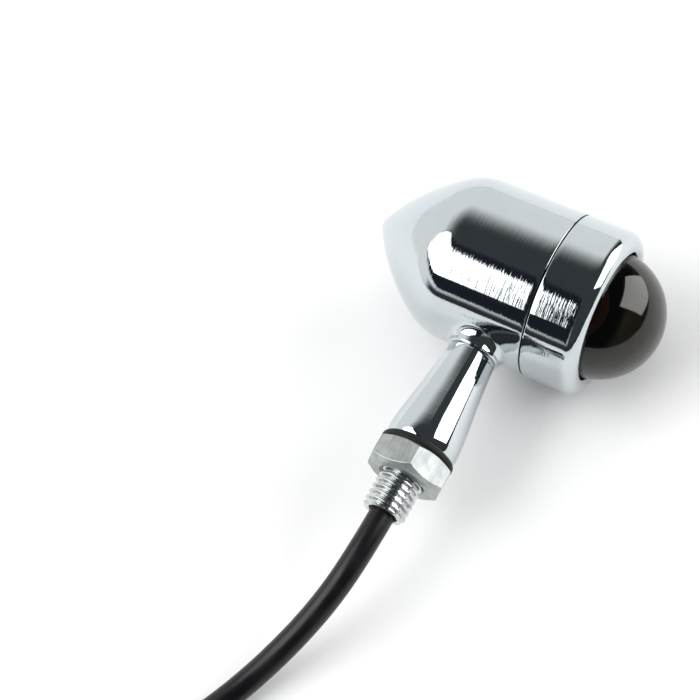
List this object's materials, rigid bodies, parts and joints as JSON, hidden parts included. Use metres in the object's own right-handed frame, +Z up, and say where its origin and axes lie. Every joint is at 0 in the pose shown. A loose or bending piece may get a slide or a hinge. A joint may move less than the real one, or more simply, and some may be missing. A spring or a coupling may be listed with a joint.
{
  "type": "turn signal indicator",
  "caption": "Chrome bullet turn signal with a smoked dome lens, screw-on bezel, bayonet bulb, tapered stem, hollow threaded stud with nut, and a sleeved lead with bullet plugs.",
  "frame": {"origin": "centre of the stem's shoulder face, on the stud's axis", "axes": "+X the way the lamp shines, -Y along the stud away from the lamp, +Z up; the lamp lies on its side on a table 19.5 mm under the lens axis"},
  "size_m": [0.0839, 0.215, 0.039],
  "materials": {
    "chrome": "mirror polished plating",
    "stud_steel": "bright zinc plating",
    "nut_steel": "zinc plated, brushed flats",
    "black_rubber": "matt",
    "smoked_lens": "clear gloss, smoked",
    "bright_dish": "spun, bright",
    "amber_glass": "gloss",
    "clear_glass": "gloss",
    "black_glass": "gloss",
    "brass": "plain",
    "plated_brass": "nickel plated",
    "solder": "dull bright",
    "tungsten": "dark",
    "spring_steel": "bright",
    "plated_steel": "zinc plated",
    "phenolic": "satin",
    "live_pvc": "satin",
    "ground_pvc": "satin",
    "sleeve_pvc": "satin",
    "boot_pvc": "milky",
    "tie_nylon": "satin"
  },
  "bodies": {
    "lamp": {"housing": "chrome", "stem": "chrome", "stud": "stud_steel", "reflector": "bright_dish", "socket_shell": "plated_steel", "rear_insulator": "phenolic", "rear_terminal": "brass", "contact_spring": "spring_steel", "socket_bracket": "plated_steel", "ground_lug": "plated_brass", "bracket_screws": "plated_steel", "live_lead": "live_pvc", "ground_lead": "ground_pvc", "cord_bushing": "black_rubber", "cord_sleeve": "sleeve_pvc", "cord_coil": "sleeve_pvc", "coil_tie": "tie_nylon", "sleeve_end": "sleeve_pvc", "live_tail": "live_pvc", "ground_tail": "ground_pvc", "live_boot": "boot_pvc", "ground_boot": "boot_pvc", "live_plug": "brass", "ground_plug": "brass"},
    "lens_unit": {"lens": "smoked_lens", "lens_gasket": "black_rubber"},
    "bezel_ring": {"bezel": "chrome"},
    "washer": {"washer": "black_rubber"},
    "nut": {"nut": "nut_steel"},
    "contact": {"contact_disc": "phenolic", "contact_plunger": "brass"},
    "bulb": {"bulb_glass": "amber_glass", "bulb_mount": "clear_glass", "bulb_supports": "solder", "bulb_filament": "tungsten", "bulb_base": "plated_brass", "bulb_insulator": "black_glass", "bulb_tip": "solder", "bulb_pins": "plated_brass"}
  },
  "joints": [
    {"name": "lens_travel", "type": "slide", "parent": "lamp", "child": "lens_unit", "axis": [1, 0, 0], "range_m": [0, 0.004]},
    {"name": "bezel_spin", "type": "hinge", "parent": "lens_unit", "child": "bezel_ring", "pos_m": [0, 0.0475, 0], "axis": [1, 0, 0], "range_deg": [0, 1440]},
    {"name": "nut_travel", "type": "slide", "parent": "lamp", "child": "washer", "axis": [0, -1, 0], "range_m": [0, 0.0075]},
    {"name": "nut_spin", "type": "hinge", "parent": "washer", "child": "nut", "pos_m": [0, 0, 0], "axis": [0, -1, 0], "range_deg": [0, 1800]},
    {"name": "bulb_push", "type": "slide", "parent": "lamp", "child": "contact", "axis": [-1, 0, 0], "range_m": [0, 0.0012], "stiffness_N_per_m": 400, "springref_m": -0.003, "deforming": ["contact_spring"]},
    {"name": "bulb_turn", "type": "hinge", "parent": "contact", "child": "bulb", "pos_m": [0, 0.0475, 0], "axis": [1, 0, 0], "range_deg": [0, 20]}
  ],
  "couplings": [
    {"joint": "lens_travel", "follows": "bezel_spin", "m_per_rad": 0.00015915},
    {"joint": "nut_travel", "follows": "nut_spin", "m_per_rad": 0.00023873}
  ]
}
